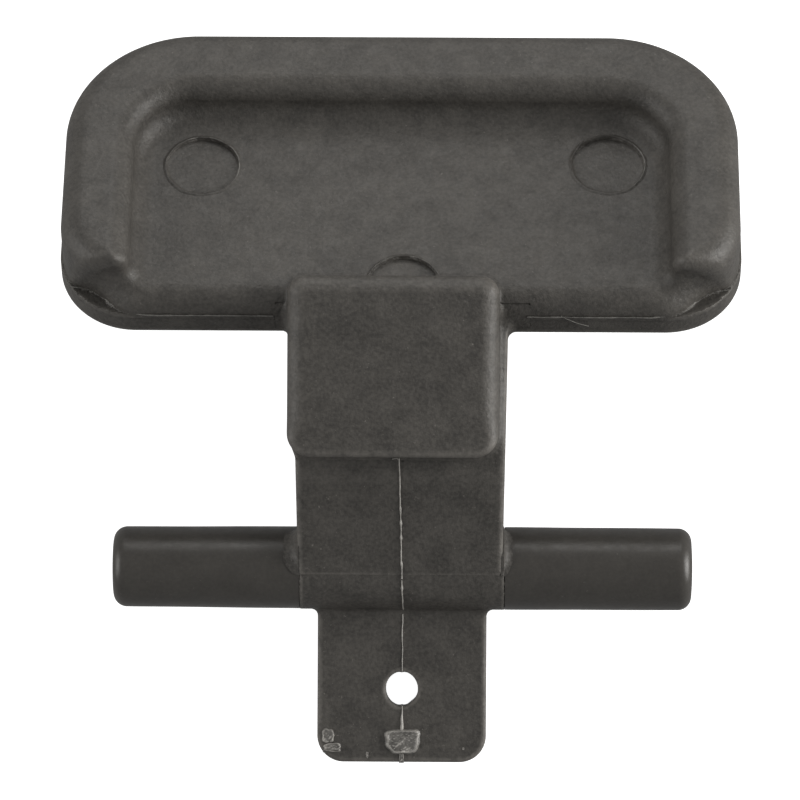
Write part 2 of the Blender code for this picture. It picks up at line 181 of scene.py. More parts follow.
def stem(x, y, z, u, w):
    """Stem, barrel and tongue, with the hanging hole."""
    flat = -(z * math.cos(TILT) + y * math.sin(TILT)) - BARREL
    back_foot = (-BARREL * math.sin(TILT), -BARREL * math.cos(TILT))
    back_top = (
        back_foot[0] + STEM_BACK_LENGTH * math.cos(TILT),
        back_foot[1] - STEM_BACK_LENGTH * math.sin(TILT),
    )
    slope = line(y, z, back_top, from_grip(STEM_TOP, -BACK_DEPTH))
    leaning = z * math.cos(STEM_LEAN) - y * math.sin(STEM_LEAN) - BARREL
    front = cut(leaning, z - STEM_FRONT, STEM_FRONT_EDGE)
    rear = cut(flat, slope, STEM_REAR_EDGE)
    # The stem ends inside the grip's back shell.
    profile = np.maximum.reduce([front, rear, w + 0.3, u - STEM_TOP, STEM_FOOT - y])
    side = np.abs(x - STEM_SHIFT) - STEM_HALF - STEM_DRAFT * y
    upper = cut(profile, side, STEM_SIDE_EDGE)
    barrel = cut(np.hypot(y, z) - BARREL, np.abs(x) - BARREL_HALF, BARREL_EDGE)
    outline = rounded_rectangle(x, y - TONGUE_TIP - TONGUE_REACH, TONGUE_HALF, TONGUE_REACH, TONGUE_CORNER)
    outline = np.maximum(outline, y - TONGUE_TOP)
    tongue = cut(cut(outline, z, TONGUE_EDGE), -TONGUE_THICKNESS - z, TONGUE_EDGE)
    whole = join(np.minimum(upper, barrel), tongue, TONGUE_JOIN)
    # The hole is a little taller than it is wide, with flash at its top and bottom and on its lower right.
    angle = np.arctan2(y - HOLE_Y, x)
    ragged = 0.09 * np.exp(-((x / 0.2) ** 2)) + 0.1 * np.exp(-(((angle + 0.95) / 0.3) ** 2))
    hole = np.hypot(x / HOLE_WIDTH_SHARE, (y - HOLE_Y) / HOLE_HEIGHT_SHARE) - HOLE_RADIUS + ragged
    return cut(whole, -hole, HOLE_EDGE)


def block(x, y, z):
    """The block over the stem's front, with a sharper front edge at its foot."""
    middle, half = (BLOCK_LOW + BLOCK_HIGH) / 2, (BLOCK_HIGH - BLOCK_LOW) / 2
    corner = np.where(y > middle, BLOCK_ROUNDING, BLOCK_ROUNDING + BLOCK_FOOT_EDGE)
    outline = rounded_rectangle(x - BLOCK_SHIFT, y - middle, BLOCK_HALF, half, corner)
    foot = (BLOCK_LOW + BLOCK_FOOT_EDGE, BLOCK_LOW + BLOCK_FOOT_RISE)
    edge = np.interp(y, foot, (BLOCK_FOOT_EDGE, BLOCK_ROUNDING))
    return np.maximum(cut(outline, z - BLOCK_FRONT, edge), BLOCK_BACK - z)


def body(points):
    """Grip, stem and block as one shape, less the rod's bore and the socket's pocket."""
    x, y, z = points[..., 0], points[..., 1], points[..., 2]
    u, w = to_grip(y, z)
    lower = join(stem(x, y, z, u, w), grip(x, u, w), JOIN_RADIUS)
    whole = join(lower, block(x, y, z), np.clip(JOIN_RADIUS - u, NARROW_JOIN, JOIN_RADIUS))
    bore = np.hypot(y, z) - ROD_BORE
    up = y * math.cos(TILT) - z * math.sin(TILT) - SOCKET_Y * math.cos(TILT)
    level = z * math.cos(TILT) + y * math.sin(TILT) + BARREL
    across = np.maximum(np.abs(x), np.abs(up)) - SOCKET_HALF - SOCKET_GAP
    pocket = np.maximum(across, level - SOCKET_LENGTH - SOCKET_ROOM)
    return np.maximum.reduce([whole, -bore, -pocket])


# ---------------------------------------------------------------- regions


def in_block(x, y, z, u, w):
    """Negative in the block's region: in front of the stem and of the grip's floor."""
    on_grip = np.minimum(FLOOR_LEVEL + CUT_ABOVE_FLOOR - w, u - CUT_DEPTH)
    below = np.maximum(STEM_FRONT - CUT_DEPTH - z, BLOCK_LOW - CUT_BELOW_BLOCK - y)
    return np.maximum.reduce([below, np.abs(x) - CUT_HALF, on_grip])


def in_stem(x, u, w):
    """Negative in the region of the stem's two halves: below the grip and behind it."""
    return np.maximum(np.minimum(u - CUT_DEPTH, w + BACK_DEPTH - CUT_DEPTH), np.abs(x) - CUT_HALF)


def region(name):
    """The field that is negative where the body belongs to the piece called name."""

    def value(points):
        x, y, z = points[..., 0], points[..., 1], points[..., 2]
        u, w = to_grip(y, z)
        of_block, of_stem = in_block(x, y, z, u, w), in_stem(x, u, w)
        if name == "front_block":
            found = of_block
        elif name == "grip_dish":
            found = np.maximum.reduce([-CUT_DEPTH - w, -of_block, -of_stem])
        elif name == "grip_back":
            found = np.maximum.reduce([w + CUT_DEPTH, -of_stem, -of_block])
        else:
            found = np.maximum.reduce([of_stem, -of_block, -x if name == "stem_right" else x])
        return found - CUT_LAP

    return value


# ---------------------------------------------------------------- meshes


def gradient(field, points):
    """The field's slope at each point, from central differences."""
    small = 0.015
    found = np.empty_like(points)
    for axis in range(3):
        offset = np.zeros(3)
        offset[axis] = small
        found[:, axis] = (field(points + offset) - field(points - offset)) / (2 * small)
    return found


def net(values, axes):
    """Surface nets: (points, quads) of the zero surface of values on a grid."""
    inside = values < 0
    cells = tuple(size - 1 for size in values.shape)
    count = np.zeros(cells, np.int8)
    for corner in np.ndindex(2, 2, 2):
        count += inside[tuple(slice(c, c + n) for c, n in zip(corner, cells))]
    active = (count > 0) & (count < 8)
    number = np.full(cells, -1)
    number[active] = np.arange(active.sum())
    where = np.argwhere(active)
    total, crossings = np.zeros((len(where), 3)), np.zeros(len(where))
    for axis in range(3):
        others = [(axis + 1) % 3, (axis + 2) % 3]
        for first in (0, 1):
            for second in (0, 1):
                start = where.copy()
                start[:, others[0]] += first
                start[:, others[1]] += second
                end = start.copy()
                end[:, axis] += 1
                low, high = values[tuple(start.T)], values[tuple(end.T)]
                crossing = (low < 0) != (high < 0)
                share = np.where(crossing, low / np.where(crossing, low - high, 1), 0)
                place = start.astype(float)
                place[:, axis] += share
                total += place * crossing[:, None]
                crossings += crossing
    points = total / crossings[:, None]
    points = np.stack([np.interp(points[:, i], np.arange(len(axes[i])), axes[i]) for i in range(3)], -1)
    quads = []
    for axis in range(3):
        first, second = (axis + 1) % 3, (axis + 2) % 3
        low = [slice(1, -1)] * 3
        high = [slice(1, -1)] * 3
        low[axis], high[axis] = slice(0, -1), slice(1, None)
        a, b = inside[tuple(low)], inside[tuple(high)]
        for change, order in ((a & ~b, (0, 1, 2, 3)), (~a & b, (3, 2, 1, 0))):
            node = np.argwhere(change) + 1
            node[:, axis] -= 1
            corners = []
            for back_first, back_second in ((1, 1), (0, 1), (0, 0), (1, 0)):
                cell = node.copy()
                cell[:, first] -= back_first
                cell[:, second] -= back_second
                corners.append(number[tuple(cell.T)])
            quads.append(np.stack(corners, -1)[:, order])
    return points, np.concatenate(quads)


def settle(points, fields, most):
    """Moves each point onto the zero surface of every field.

    A point stays where it was if that would take it far, or doesn't bring it near enough.
    """
    rounds, farthest, near_enough = 4, 0.9 * STEP, STEP / 3
    start = points
    for _ in range(rounds):
        rows = np.stack([gradient(field, points) for field in fields], 1)
        values = np.stack([field(points) for field in fields], 1)
        square = rows @ rows.transpose(0, 2, 1) + 1e-3 * np.eye(len(fields))
        move = np.einsum("nij,ni->nj", rows, np.linalg.solve(square, values[..., None])[..., 0])
        length = np.linalg.norm(move, axis=1, keepdims=True)
        points = points - move * np.minimum(1, most / np.maximum(length, 1e-9))
    failed = np.linalg.norm(points - start, axis=1) > farthest
    failed |= np.abs(np.stack([field(points) for field in fields])).max(0) > near_enough
    return np.where(failed[:, None], start, points)


def moulded(name, low, high, in_grip_frame):
    """One moulded piece: the part of the body in its region, within a box of its own frame."""
    keep = region(name)
    axes = [np.arange(a, b + STEP, STEP) for a, b in zip(low, high)]
    grid = np.stack(np.meshgrid(*axes, indexing="ij"), -1)
    if in_grip_frame:
        grid[..., 1], grid[..., 2] = from_grip(grid[..., 1], grid[..., 2])
    outer, limit = body(grid), keep(grid)
    points, quads = net(np.maximum(outer, limit), axes)
    if in_grip_frame:
        y, z = from_grip(points[:, 1], points[:, 2])
        points = np.stack([points[:, 0], y, z], -1)
    at_outer, at_limit = np.abs(body(points)), np.abs(keep(points))
    edge_reach, inside_depth, on_cut = 0.7 * STEP, 0.3 * STEP, 0.08 * STEP
    edge = (at_outer < edge_reach) & (at_limit < edge_reach)
    on_limit = ~edge & (at_limit < at_outer)
    on_outer = ~edge & ~on_limit
    points[on_outer] = settle(points[on_outer], [body], STEP / 2)
    points[on_limit] = settle(points[on_limit], [keep], STEP / 2)
    points[edge] = settle(points[edge], [body, keep], STEP / 2)
    outer_normal, limit_normal = gradient(body, points), gradient(keep, points)
    # A face on the cut between two pieces has a corner inside the body, and every corner on the cut.
    hidden = body(points)[quads].min(1) < -inside_depth
    hidden &= np.abs(keep(points))[quads].max(1) < on_cut
    normals = np.where(hidden[:, None, None], limit_normal[quads], outer_normal[quads])
    # How sharply the surface bends outwards, which the materials use to pale the edges, as wear and as a painted
    # highlight.
    reach = 0.35
    around = [np.eye(3)[axis] * sign * reach for axis in range(3) for sign in (1, -1)]
    bend = (sum(body(points + offset) for offset in around) - 6 * body(points)) / reach**2
    return finish_mesh(name + "_moulding", points, quads, normals, bend)


def finish_mesh(name, points, faces, normals=None, bend=None):
    """An object from points in the key frame, in millimetres."""
    most_bend = 2
    mesh = bpy.data.meshes.new(name)
    if isinstance(faces, np.ndarray):
        faces = faces.tolist()
    mesh.from_pydata((points * MM).tolist(), [], faces)
    mesh.transform(KEY)
    mesh.shade_smooth()
    bent = mesh.attributes.new("bend", "FLOAT", "POINT")
    if bend is not None:
        bent.data.foreach_set("value", np.clip(bend, -most_bend, most_bend).astype(np.float32))
    if normals is not None:
        flat = normals.reshape(-1, 3)
        flat = flat / np.maximum(np.linalg.norm(flat, axis=1, keepdims=True), 1e-9)
        mesh.normals_split_custom_set((flat @ np.array(KEY.to_3x3()).T).tolist())
    mesh.update()
    obj = bpy.data.objects.new(name, mesh)
    bpy.context.scene.collection.objects.link(obj)
    return obj


def lathe(name, profile, side):
    """A round piece about the bar's axis, from (x, radius) points that run from one end to the other."""
    turns = 96
    angles = np.arange(turns) * 2 * math.pi / turns
    points, faces = [], []
    for x, radius in profile:
        ring = np.stack([np.full(turns, side * x), radius * np.cos(angles), radius * np.sin(angles)], -1)
        points.append(ring)
    for row in range(len(profile) - 1):
        for turn in range(turns):
            a, b = row * turns + turn, row * turns + (turn + 1) % turns
            quad = (a, b, b + turns, a + turns)
            faces.append(quad if side < 0 else quad[::-1])
    first = tuple(range(turns))
    last = tuple(range((len(profile) - 1) * turns, len(profile) * turns))
    faces += [first[::-1], last] if side < 0 else [first, last[::-1]]
    obj = finish_mesh(name, np.concatenate(points), faces)
    obj.data.set_sharp_from_angle(angle=math.radians(40))
    return obj


def arm(name, side):
    """One length of the cross bar: nearly straight, with a rounded edge and a slightly domed end."""
    start, end = ARM_START, BAR_HALF
    root, tip = ARM_RADII[side]
    profile = [(start, ROD_BORE), (start, root - ARM_CHAMFER), (start + ARM_CHAMFER, root)]
    for share in np.linspace(0.04, 1, 24):
        x = start + share * (end - ARM_ROUNDING - BAR_CROWN - start)
        radius = root + (tip - root) * share
        profile.append((x, radius + ARM_RIPPLE * math.sin(9 * share + side)))
    for angle in np.linspace(0, math.pi / 2, 12)[1:]:
        x = end - BAR_CROWN - ARM_ROUNDING * (1 - math.sin(angle))
        profile.append((x, tip - ARM_ROUNDING * (1 - math.cos(angle))))
    for share in (0.75, 0.5, 0.25, 0.06):
        profile.append((end - BAR_CROWN * share**2, (tip - ARM_ROUNDING) * share))
    return lathe(name, profile, side)


def smooth_noise(count, spacing):
    """Random values from -1 to 1 that change over about spacing samples."""
    knots = RANDOM.uniform(-1, 1, count // spacing + 3)
    return np.interp(np.arange(count) / spacing, np.arange(len(knots)), knots)


def grip_points(x, u, w):
    """Points in the key frame from places in the grip frame."""
    y, z = from_grip(u, w)
    return np.stack([x, y, z], -1)


def bead(path, radii, normal, sides=8):
    """A thin ridge along a path of points, with its own half height at each point along normal."""
    path, radii = np.asarray(path, float), np.asarray(radii, float)
    run = np.gradient(path, axis=0)
    run /= np.linalg.norm(run, axis=1, keepdims=True)
    across = np.cross(run, normal)
    across /= np.linalg.norm(across, axis=1, keepdims=True)
    up = np.cross(across, run)
    rings = []
    for side in range(sides):
        angle = side * 2 * math.pi / sides
        rings.append(path + radii * (math.cos(angle) * across * 0.8 + math.sin(angle) * up))
    points = np.stack(rings, 1).reshape(-1, 3)
    faces = []
    for row in range(len(path) - 1):
        for side in range(sides):
            a, b = row * sides + side, row * sides + (side + 1) % sides
            faces.append((a, b, b + sides, a + sides))
    last = (len(path) - 1) * sides
    faces += [tuple(range(sides))[::-1], tuple(range(last, last + sides))]
    return points, faces


def resample(points, spacing):
    """Evenly spaced points along the path through points."""
    points = np.asarray(points, float)
    lengths = np.concatenate([[0], np.cumsum(np.linalg.norm(np.diff(points, axis=0), axis=1))])
    at = np.linspace(0, lengths[-1], int(lengths[-1] / spacing) + 2)
    return np.stack([np.interp(at, lengths, points[:, i]) for i in range(points.shape[1])], -1)


def ejector_mark(x, u, torn):
    """The round recess that an ejector pin leaves, with its raised, torn edge."""
    turns = 120
    angles = np.arange(turns) * 2 * math.pi / turns
    lip = 0.05 + torn * np.clip(np.sin(angles - 0.5), 0, 1) ** 2 * (1 + 0.5 * np.sin(9 * angles))
    wander = 0.03 * np.sin(5 * angles + x) + 0.02 * np.sin(11 * angles)
    # The recess slopes: it is deepest at its upper right.
    tilt = 0.045 * (np.cos(angles) * 0.6 + np.sin(angles) * 0.8)
    rows = []
    for radius, height, share in (
        (MARK_RADIUS + 0.5, -0.04, 0), (MARK_RADIUS + 0.22, 0.03, 0.2), (MARK_RADIUS + 0.1, 0.05, 1),
        (MARK_RADIUS + 0.02, 0.03, 0.8), (MARK_RADIUS - 0.05, -0.2, 0), (MARK_RADIUS - 0.25, -0.27, 0),
        (MARK_RADIUS - 0.6, -0.26, 0), (MARK_RADIUS * 0.5, -0.24, 0), (0.3, -0.23, 0),
    ):
        reach = radius + wander * min(1, radius / MARK_RADIUS) + 0 * angles
        inside = radius < MARK_RADIUS
        level = FLOOR_LEVEL + height + lip * share - (tilt * radius if inside else 0)
        rows.append(grip_points(x + GRIP_SHIFT + reach * np.cos(angles), u + reach * np.sin(angles), level))
    points = np.concatenate(rows)
    faces = []
    for row in range(len(rows) - 1):
        for turn in range(turns):
            a, b = row * turns + turn, row * turns + (turn + 1) % turns
            faces.append((a, b, b + turns, a + turns))
    faces.append(tuple(range((len(rows) - 1) * turns, len(rows) * turns)))
    return points, faces


def root_fillet(side, size, first, last):
    """The fillet between the stem's side and the bar, clear of the turning bar, over part of a turn."""
    steps, rise = 60, 10
    bar = ARM_RADII[side][0] + 0.04
    points, faces = [], []
    for step in range(steps + 1):
        share = step / steps
        angle = first + (last - first) * share
        fade = min(1, 4 * share, 4 * (1 - share)) ** 0.5
        reach = max(0.05, size * fade)
        # The fillet stays below the stem's leaning front.
        facing = math.sin(angle) * math.cos(STEM_LEAN) - math.cos(angle) * math.sin(STEM_LEAN)
        front = BARREL / max(facing, 0.1)
        tall = max(0.03, min(reach, front - bar - 0.12))
        face = BARREL_HALF + side * STEM_SHIFT * 0.5
        ring = [(face - 0.3, bar), (face + reach, bar)]
        for part in range(rise + 1):
            turn = math.pi / 2 * part / rise
            ring.append((face + reach * (1 - math.sin(turn)), bar + 0.03 + tall * (1 - math.cos(turn))))
        ring.append((face - 0.3, bar + 0.03 + tall))
        points += [(side * x, r * math.cos(angle), r * math.sin(angle)) for x, r in ring]
    width = rise + 4
    for step in range(steps):
        for place in range(width):
            a, b = step * width + place, step * width + (place + 1) % width
            faces.append((a, b, b + width, a + width)[:: side])
    end = steps * width
    faces += [tuple(range(width))[::-side], tuple(range(end, end + width))[::side]]
    return np.array(points), faces


def torn_patch(centre, size, height, cells):
    """A low torn patch that stands on a surface, such as the broken end of a gate: (points, faces, bend)."""
    across = np.linspace(-1, 1, cells)
    a, b = np.meshgrid(across, across, indexing="ij")
    angle = np.arctan2(b, a)
    turns = RANDOM.uniform(0, 2 * math.pi, 7)
    outline = 0.93 + 0.05 * np.sin(3 * angle + turns[0]) + 0.03 * np.sin(7 * angle + turns[1])
    reach = (np.abs(a) ** 4 + np.abs(b) ** 4) ** 0.25 / outline
    inside = np.clip((1 - reach) / 0.2, 0, 1)
    inside = inside * inside * (3 - 2 * inside)
    ridge = np.exp(-(((reach - 0.8) / 0.12) ** 2)) * (1 + 0.5 * np.sin(4 * angle + turns[2]))
    folds = np.sin(5 * a + 3 * b + turns[3] + 1.2 * np.sin(3 * b + turns[4]))
    folds = folds + np.sin(9 * b - 4 * a + turns[5] + np.sin(6 * a + turns[6]))
    grain = RANDOM.uniform(-1, 1, (cells, cells))
    grain = (grain + np.roll(grain, 1, 0) + np.roll(grain, 1, 1) + np.roll(grain, (1, 1), (0, 1))) / 4
    low_half = np.clip(0.4 - b, 0.15, 1)
    top = height * inside * (0.45 + 0.3 * ridge + 0.2 * folds * low_half + 0.12 * grain) - 0.05 * (1 - inside)
    spread_a, spread_b = 2 * size[0] / (cells - 1), 2 * size[1] / (cells - 1)
    bend = -np.gradient(np.gradient(top, axis=0), axis=0) / spread_a**2
    bend -= np.gradient(np.gradient(top, axis=1), axis=1) / spread_b**2
    points = np.stack([centre[0] + a * size[0], centre[1] + b * size[1], centre[2] + top], -1).reshape(-1, 3)
    faces = []
    for i in range(cells - 1):
        for j in range(cells - 1):
            k = i * cells + j
            faces.append((k, k + cells, k + cells + 1, k + 1))
    border = [i * cells for i in range(cells)] + [(cells - 1) * cells + j for j in range(1, cells)]
    border += [i * cells + cells - 1 for i in range(cells - 2, -1, -1)] + [j for j in range(cells - 2, 0, -1)]
    under = len(points)
    skirt = points[border].copy()
    skirt[:, 2] = centre[2] - 0.25
    points = np.concatenate([points, skirt])
    for n in range(len(border)):
        m = (n + 1) % len(border)
        faces.append((border[n], under + n, under + m, border[m]))
    faces.append(tuple(range(under, under + len(border)))[::-1])
    return points, faces, np.concatenate([0.4 * bend.reshape(-1), np.zeros(len(border))])


def detail(name, parts, finish, slot):
    """One piece on the key's body from several (points, faces) or (points, faces, bend)."""
    points, faces, bends, start = [], [], [], 0
    for part_points, part_faces, *bend in parts:
        points.append(part_points)
        bends.append(bend[0] if bend else np.zeros(len(part_points)))
        faces += [tuple(index + start for index in face) for face in part_faces]
        start += len(part_points)
    obj = finish_mesh(name, np.concatenate(points), faces, bend=np.concatenate(bends))
    shape = bmesh.new()
    shape.from_mesh(obj.data)
    bmesh.ops.recalc_face_normals(shape, faces=shape.faces)
    shape.to_mesh(obj.data)
    shape.free()
    obj.data.set_sharp_from_angle(angle=math.radians(50))
    obj.data.materials.append(finish)
    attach(obj, "key")


def details():
    """The marks, fillets, flash, seam and scars that stand on the moulded pieces."""
    marks = [ejector_mark(x, u, torn) for (x, u), torn in zip(MARKS, (0.05, 0.2, 0.08))]
    detail("ejector_marks", marks, PLASTIC["grip_plastic"], "grip_plastic")

    first, last = math.radians(22), math.radians(99)
    fillets = [root_fillet(side, size, first, last) for side, size in ((-1, 1.45), (1, 0.85))]
    detail("root_fillets", fillets, PLASTIC["stem_plastic"], "stem_plastic")

    # The grip's flash line, from each leg of the rim along the lower edge to the stem.
    lines = []
    for side in (-1, 1):
        knots = [(32.3, 3.62), (31.0, 3.3), (29.7, 3.15), (28.95, 3.0), (28.5, 2.3), (28.15, 1.75)]
        knots += [(27.8, 1.35), (27.1, 0.95), (26.3, 0.5), (25.3, 0.12), (24.2, -0.02), (12.2, -0.02)]
        path = resample(knots, 0.2)
        x, u = side * path[:, 0] + GRIP_SHIFT, path[:, 1]
        rough = smooth_noise(len(x), 3)
        corner = np.exp(-(((path[:, 0] - 28.1) / 0.75) ** 2))
        thick = 0.09 + 0.035 * rough + 0.13 * corner - 0.03 * np.clip(path[:, 0] - 29.2, 0, 1)
        u = u + 0.03 * smooth_noise(len(x), 4)
        lines.append(bead(grip_points(x, u - 0.06, 0.14 + 0 * x), thick[:, None], (0, -0.3, 1)))
    hair = resample([(15.2, 0.0, 0.2), (15.9, -0.25, 0.0), (16.8, -0.3, -0.5), (17.9, -0.25, -1.0)], 0.15)
    hair = grip_points(*hair.T)
    lines.append(bead(hair, np.full((len(hair), 1), 0.05), (0, -0.3, 1)))
    # The raised lip round the upper side of each ejector mark.
    for (mark_x, mark_u), first, last in zip(MARKS, (-35, -60, 20), (175, 150, 165)):
        angles = np.radians(np.arange(first, last, 2.5))
        reach = MARK_RADIUS + 0.1 + 0.02 * smooth_noise(len(angles), 4)
        ring = grip_points(
            mark_x + GRIP_SHIFT + reach * np.cos(angles), mark_u + reach * np.sin(angles), FLOOR_LEVEL + 0.06
        )
        fade = np.clip(np.minimum(np.arange(len(angles)), np.arange(len(angles))[::-1]) / 10, 0.2, 1)
        thick = (0.045 + 0.03 * smooth_noise(len(angles), 3)) * fade + 0.01
        lines.append(bead(ring, thick[:, None], (0, 0.6, 0.8)))
    detail("grip_flash", lines, FLASH, "grip_plastic")

    # The seam of the stem's two halves, down the front of the stem, the barrel and the tongue.
    seam = []
    for first, last in ((-0.95, 10.85), (-4.1, -1.0)):
        y = np.arange(first, last, 0.12)
        lean = math.sin(STEM_LEAN)
        foot = -BARREL * lean
        on_stem = (BARREL + y * lean) / math.cos(STEM_LEAN)
        z = np.where(y > foot, on_stem, np.sqrt(np.maximum(BARREL**2 - y**2, 0)))
        x = -0.02 - 0.022 * y + 0.03 * smooth_noise(len(y), 5)
        high = 0.075 + 0.02 * smooth_noise(len(y), 3)
        for nub in (5.9, 4.5, 3.1, 0.5, -1.9):
            high = high + 0.07 * np.exp(-(((y - nub) / 0.2) ** 2))
        seam.append(bead(np.stack([x, y, z + 0.04], -1), np.maximum(high, 0.04)[:, None], (0, 0, 1)))
    for first, last in ((-10.15, -4.4), (-15.9, -13.5)):
        y = np.arange(first, last, 0.12)
        x = 0.04 + 0.03 * smooth_noise(len(y), 5)
        high = 0.06 + 0.02 * smooth_noise(len(y), 3) + 0.14 * np.clip((-14.1 - y) / 1.4, 0, 1)
        seam.append(bead(np.stack([x, y, 0.03 + 0 * y], -1), np.maximum(high, 0.03)[:, None], (0, 0, 1)))
    hook = resample([(-0.95, 10.72), (-0.5, 10.8), (-0.28, 10.6), (-0.26, 10.1)], 0.08)
    level = (BARREL + hook[:, 1] * math.sin(STEM_LEAN)) / math.cos(STEM_LEAN)
    seam.append(bead(np.column_stack([hook, level + 0.04]), np.full((len(hook), 1), 0.06), (0, 0, 1)))
    detail("stem_seam", seam, SEAM, "stem_plastic")

    # The gate scar under the hole, the scuffed corner, the scar's tail and two small nicks.
    scars = []
    for centre, size, height, cells in (
        ((0.1, -16.95, 0.0), (1.92, 1.38), 0.42, 44),
        ((-7.2, -16.45, 0.0), (0.68, 0.78), 0.24, 26),
        ((-6.75, -17.6, 0.0), (0.95, 0.5), 0.22, 26),
        ((0.0, -18.45, 0.0), (0.24, 0.62), 0.2, 18),
        ((-3.35, -18.3, 0.0), (0.14, 0.36), 0.1, 12),
        ((6.05, -17.65, 0.0), (0.12, 0.14), 0.1, 12),
    ):
        scars.append(torn_patch(centre, size, height, cells))
    detail("gate_scar", scars, SCAR, "stem_plastic")


# ---------------------------------------------------------------- materials


def new_material(name):
    made = bpy.data.materials.new(name)
    made.use_nodes = True
    return made, made.node_tree.nodes, made.node_tree.links


def plastic(name, base, rough, grain, blotch, speck, wear_and_highlight):
    """Moulded dark grey plastic: mottled colour, spark-eroded grain, pale specks, and pale edges that are partly
    wear and partly a painted highlight.
    """
    made, nodes, links = new_material(name)
    shader = nodes["Principled BSDF"]
    place = nodes.new("ShaderNodeTexCoord").outputs["Object"]

    def noise(scale, detail, roughness=0.6):
        node = nodes.new("ShaderNodeTexNoise")
        node.inputs["Scale"].default_value = scale
        node.inputs["Detail"].default_value = detail
        node.inputs["Roughness"].default_value = roughness
        links.new(place, node.inputs["Vector"])
        return node.outputs["Fac"]

    def ranged(value, low, high, to_low, to_high):
        node = nodes.new("ShaderNodeMapRange")
        for socket, number in zip(("From Min", "From Max", "To Min", "To Max"), (low, high, to_low, to_high)):
            node.inputs[socket].default_value = number
        links.new(value, node.inputs["Value"])
        return node.outputs["Result"]

    def maths(operation, first, second):
        node = nodes.new("ShaderNodeMath")
        node.operation = operation
        for socket, value in zip(node.inputs, (first, second)):
            if isinstance(value, (int, float)):
                socket.default_value = value
            else:
                links.new(value, socket)
        return node.outputs["Value"]

    def mixed(share, first, second):
        node = nodes.new("ShaderNodeMix")
        node.data_type = "RGBA"
        links.new(share, node.inputs["Factor"])
        for socket, colour in ((node.inputs[6], first), (node.inputs[7], second)):
            if isinstance(colour, tuple):
                socket.default_value = (*colour, 1)
            else:
                links.new(colour, socket)
        return node.outputs[2]

    dark = tuple(c * (1 - blotch) for c in base)
    light = tuple(c * (1 + blotch) for c in base)
    pale = tuple(c * 2.6 + 0.02 for c in base)
    cloud = ranged(noise(330, 5), 0.36, 0.64, 0, 1)
    fine = ranged(noise(2800, 3), 0.35, 0.65, 0, 1)
    colour = mixed(maths("ADD", maths("MULTIPLY", cloud, 0.45), maths("MULTIPLY", fine, 0.55)), dark, light)
    specks = ranged(noise(2600, 3, 0.7), 0.66, 0.74, 0, speck)
    colour = mixed(specks, colour, pale)
    # Edges that bend outwards are paled: partly wear, partly a painted highlight along the edges.
    bend = nodes.new("ShaderNodeAttribute")
    bend.attribute_name = "bend"
    edge = ranged(bend.outputs["Fac"], 0.25, 1.6, 0, wear_and_highlight)
    colour = mixed(maths("MULTIPLY", edge, ranged(noise(700, 4), 0.35, 0.6, 0.4, 1)), colour, pale)
    links.new(colour, shader.inputs["Base Color"])
    links.new(ranged(noise(900, 4), 0.3, 0.7, rough - 0.07, rough + 0.07), shader.inputs["Roughness"])
    shader.inputs["IOR"].default_value = 1.49
    shader.inputs["Specular IOR Level"].default_value = 0.5
    height = maths("ADD", maths("MULTIPLY", noise(2100, 4, 0.65), 1.0), maths("MULTIPLY", noise(420, 3), 1.2))
    bump = nodes.new("ShaderNodeBump")
    bump.inputs["Strength"].default_value = grain
    bump.inputs["Distance"].default_value = 0.12 * MM
    links.new(height, bump.inputs["Height"])
    links.new(bump.outputs["Normal"], shader.inputs["Normal"])
    return made


def metal(name, base, rough, drawn):
    """Turned or drawn metal with fine marks along its length and stained patches."""
    made, nodes, links = new_material(name)
    shader = nodes["Principled BSDF"]
    shader.inputs["Metallic"].default_value = 1.0
    place = nodes.new("ShaderNodeTexCoord").outputs["Object"]
    stretch = nodes.new("ShaderNodeMapping")
    stretch.inputs["Scale"].default_value = drawn
    links.new(place, stretch.inputs["Vector"])
    marks = nodes.new("ShaderNodeTexNoise")
    marks.inputs["Scale"].default_value = 900
    marks.inputs["Detail"].default_value = 4
    links.new(stretch.outputs["Vector"], marks.inputs["Vector"])
    stain = nodes.new("ShaderNodeTexNoise")
    stain.inputs["Scale"].default_value = 260
    stain.inputs["Detail"].default_value = 5
    links.new(place, stain.inputs["Vector"])
    ramp = nodes.new("ShaderNodeValToRGB")
    ramp.color_ramp.elements[0].position = 0.38
    ramp.color_ramp.elements[0].color = (*[c * 0.62 for c in base], 1)
    ramp.color_ramp.elements[1].position = 0.62
    ramp.color_ramp.elements[1].color = (*base, 1)
    links.new(stain.outputs["Fac"], ramp.inputs["Fac"])
    links.new(ramp.outputs["Color"], shader.inputs["Base Color"])
    spread = nodes.new("ShaderNodeMapRange")
    spread.inputs["To Min"].default_value = rough - 0.1
    spread.inputs["To Max"].default_value = rough + 0.15
    links.new(marks.outputs["Fac"], spread.inputs["Value"])
    links.new(spread.outputs["Result"], shader.inputs["Roughness"])
    bump = nodes.new("ShaderNodeBump")
    bump.inputs["Strength"].default_value = 0.25
    bump.inputs["Distance"].default_value = 0.03 * MM
    links.new(marks.outputs["Fac"], bump.inputs["Height"])
    links.new(bump.outputs["Normal"], shader.inputs["Normal"])
    return made


# ---------------------------------------------------------------- scene


def camera():
    """Almost square on to the key's front, as in the photograph."""
    data = bpy.data.cameras.new("camera")
    data.sensor_width = 36.0
    data.lens = data.sensor_width * CAMERA_DISTANCE / VIEW_WIDTH
    data.clip_start = 0.01
    data.clip_end = 10.0
    obj = bpy.data.objects.new("camera", data)
    bpy.context.scene.collection.objects.link(obj)
    turn = Matrix.Rotation(CAMERA_YAW, 4, "Y") @ Matrix.Rotation(CAMERA_ROLL, 4, "Z")
    obj.matrix_world = (
        KEY @ Matrix.Translation(CAMERA_AIM) @ turn @ Matrix.Translation((0, 0, CAMERA_DISTANCE))
    )
    bpy.context.scene.camera = obj


